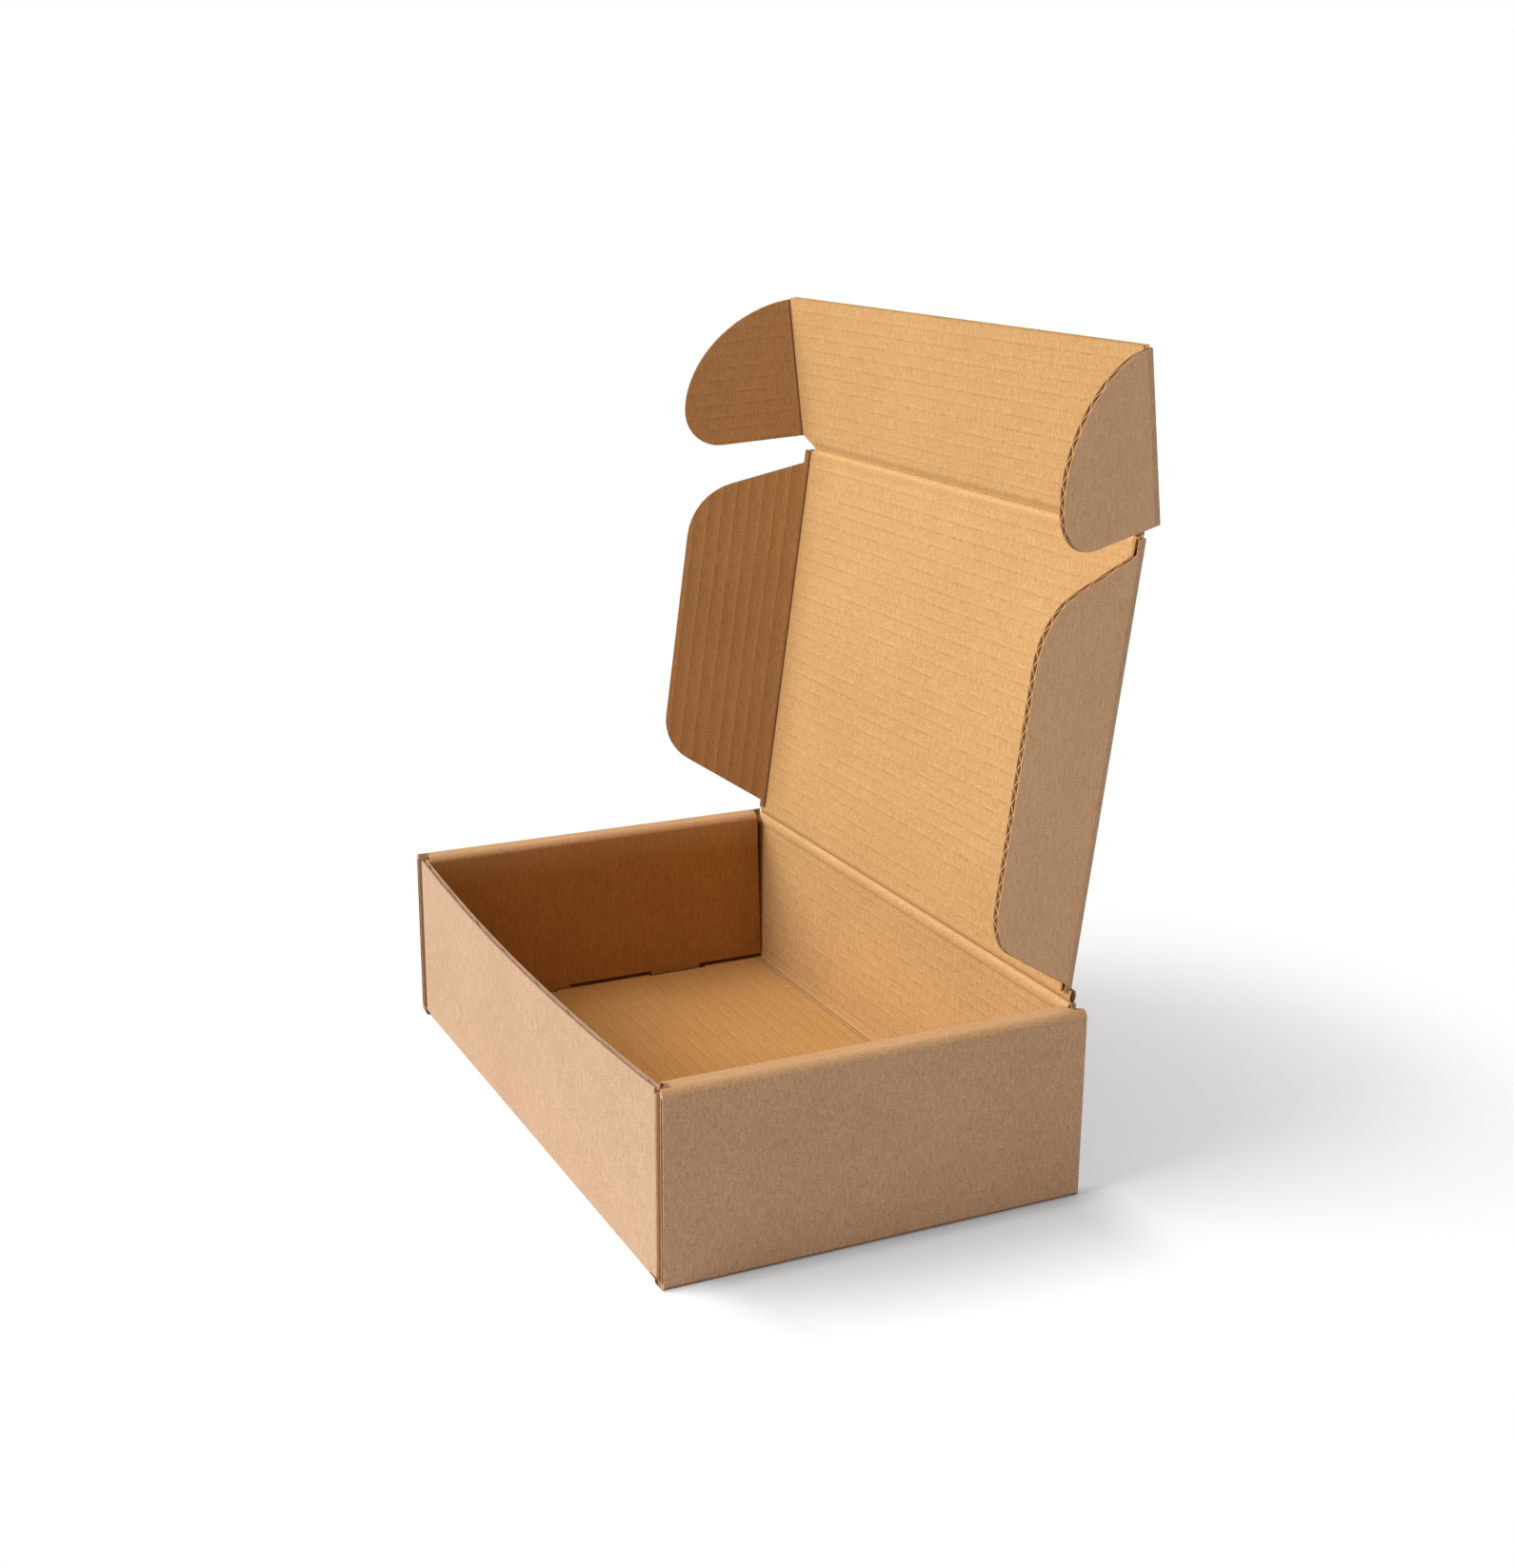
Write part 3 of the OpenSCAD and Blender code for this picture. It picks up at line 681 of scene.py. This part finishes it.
def add_crease(name, place, profiles, spans, paints, ways):
    """Both strips of one crease. ways are the directions from the parent panel to the crease and on along the
    panel that turns."""
    for outward, face in ((-1, "inner"), (1, "outer")):
        low, high = spans[outward]
        strip = crease_strip(name + "_" + face, profiles[outward], low, high, place, outward)
        strip.data.materials.append(paints[outward])
        tuple(place.translation - ways[0] * BLEND_REACH)
        tuple(place.translation + ways[1] * BLEND_REACH)
        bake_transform(strip)


def add_creases():
    paints = {-1: kraft("crease_inside", inner_crease), 1: kraft("crease_outside", outer_crease)}
    add_foot_creases(paints[-1])
    hinge_span = -HINGE_HALF, HINGE_HALF
    add_crease("lid_crease", crease_frame(HINGE, Z, Y), HINGE_PROFILES, {-1: hinge_span, 1: hinge_span},
               paints, (Z, LID_UP))
    add_crease("front_flap_crease", crease_frame(FAR_CREASE, LID_UP, LID_OUT), FAR_PROFILES,
               {-1: (-LID_HALF_IN, LID_HALF_IN), 1: (-LID_HALF_OUT, LID_HALF_OUT)},
               paints, (LID_UP, FLAP_UP))
    for name, side in SIDES:
        for kind, parent, origin, way, out, x, low, high in (
                ("dust_flap", "lid", HINGE, LID_UP, LID_OUT, DUST_X, DUST_START, DUST_END),
                ("ear", "front_flap", FAR_CREASE, FLAP_UP, FLAP_OUT, EAR_X, EAR_START, EAR_END)):
            place = crease_frame(origin + X * side * x, X * side, out)
            along = place.to_3x3().col[0].dot(way)
            span = sorted((low * along, high * along))
            add_crease(kind + "_crease_" + name, place, FOLD_PROFILES, {-1: span, 1: span},
                       paints, (X * side, side_run(side, out)))


# Stage, lamps and world
FLOOR_SIZE = 16
WHITE, BLACK = (1, 1, 1, 1), (0, 0, 0, 1)
FLOOR_LIT = rgb(244, 238, 230)
FLOOR_SHADED, FLOOR_LIFT = (0.82, 0.78, 0.74, 1), (0.285, 0.345, 0.4, 1)
DISC_MIDDLE, DISC_EDGE = 0.05, (-0.01, 0.125)
WORLD_STRENGTH, WORLD_COLOUR = 0.43, (1.0, 0.87, 0.74, 1)
KEY_TOWARD, KEY_STRENGTH, KEY_SOFTNESS = (-0.22, -0.82, 0.6), 3.5, math.radians(50)
KEY_COLOUR = 0.9, 0.97, 1.0

# Painted shadow of the box on the floor beside the right wall: its ends, its reach and how deep it is
SHADE_FRONT, SHADE_BACK, SHADE_SLANT = (-92 * MM, -62 * MM), (80 * MM, 112 * MM), 0.25
SHADE_X = 140 * MM, 148 * MM
SHADE_WIDE, SHADE_CLOSE = (0, 85 * MM), (0, 9 * MM)
WIDE_DEPTH, CLOSE_DEPTH = 0.3, 0.2


def painted_floor_shadow(x, y):
    """Painted shadow beside the box's right wall: how much of the floor's light it takes, deepest against the
    wall's foot.
    """
    beside = x - SIDE_OUT
    reach = (y - beside * SHADE_SLANT).step(*SHADE_FRONT) * y.fade(*SHADE_BACK) * x.step(*SHADE_X)
    return (beside.fade(*SHADE_WIDE) * WIDE_DEPTH + beside.fade(*SHADE_CLOSE) * CLOSE_DEPTH) * reach


def add_floor():
    """Pale floor that keeps the box's shade near it, with a painted shadow beside the right wall, and is
    plain white further out.
    """
    bpy.ops.object.select_all(action="DESELECT")
    bpy.ops.mesh.primitive_plane_add(size=FLOOR_SIZE, location=(0, 0, 0))
    floor = bpy.context.object
    floor.name = "floor"
    paint = Paint(bpy.data.materials.new("floor_white"))
    x, y = paint.axes(paint.place())[:2]
    off_x, off_y = x - DISC_MIDDLE, y - DISC_MIDDLE
    lit = paint.node("ShaderNodeBsdfDiffuse", {}, {"Color": FLOOR_LIT})
    shaded = paint.node("ShaderNodeBsdfDiffuse", {}, {"Color": FLOOR_SHADED})
    lift = paint.node("ShaderNodeEmission", {}, {"Color": FLOOR_LIFT, "Strength": 1.0})
    white = paint.node("ShaderNodeEmission", {}, {"Color": WHITE, "Strength": 1.0})
    black = paint.node("ShaderNodeEmission", {}, {"Color": BLACK, "Strength": 0.0})
    lifted = paint.node("ShaderNodeAddShader", {}, {0: shaded.outputs[0], 1: lift.outputs[0]})
    # the painted shadow darkens the floor beside the right wall
    near = paint.mix_shaders(painted_floor_shadow(x, y), lifted, black)
    seen = paint.mix_shaders((off_x * off_x + off_y * off_y).step(*DISC_EDGE), near, white)
    both = paint.mix_shaders(paint.shows_background(), lit, seen)
    paint.node("ShaderNodeOutputMaterial", {}, {"Surface": both.outputs[0]})
    floor.data.materials.append(paint.owner)


def add_key():
    """Soft lamp far away, on the side that KEY_TOWARD points to."""
    lamp = bpy.data.objects.new("key", bpy.data.lights.new("key", "SUN"))
    bpy.context.collection.objects.link(lamp)
    lamp.data.energy = KEY_STRENGTH
    lamp.data.angle = KEY_SOFTNESS
    lamp.data.color = KEY_COLOUR
    lamp.rotation_mode = "QUATERNION"
    lamp.rotation_quaternion = Vector(KEY_TOWARD).to_track_quat("Z", "Y")


def add_world():
    world = bpy.data.worlds.new("studio")
    bpy.context.scene.world = world
    paint = Paint(world)
    soft = paint.node("ShaderNodeBackground", {}, {"Color": WORLD_COLOUR, "Strength": WORLD_STRENGTH})
    white = paint.node("ShaderNodeBackground", {}, {"Color": WHITE, "Strength": 1.0})
    both = paint.mix_shaders(paint.shows_background(), soft, white)
    paint.node("ShaderNodeOutputWorld", {}, {"Surface": both.outputs[0]})


bpy.ops.object.select_all(action="DESELECT")
add_camera()
add_floor()
add_world()
add_key()
paint_board()
add_creases()

bpy.context.scene.view_settings.view_transform = "Standard"
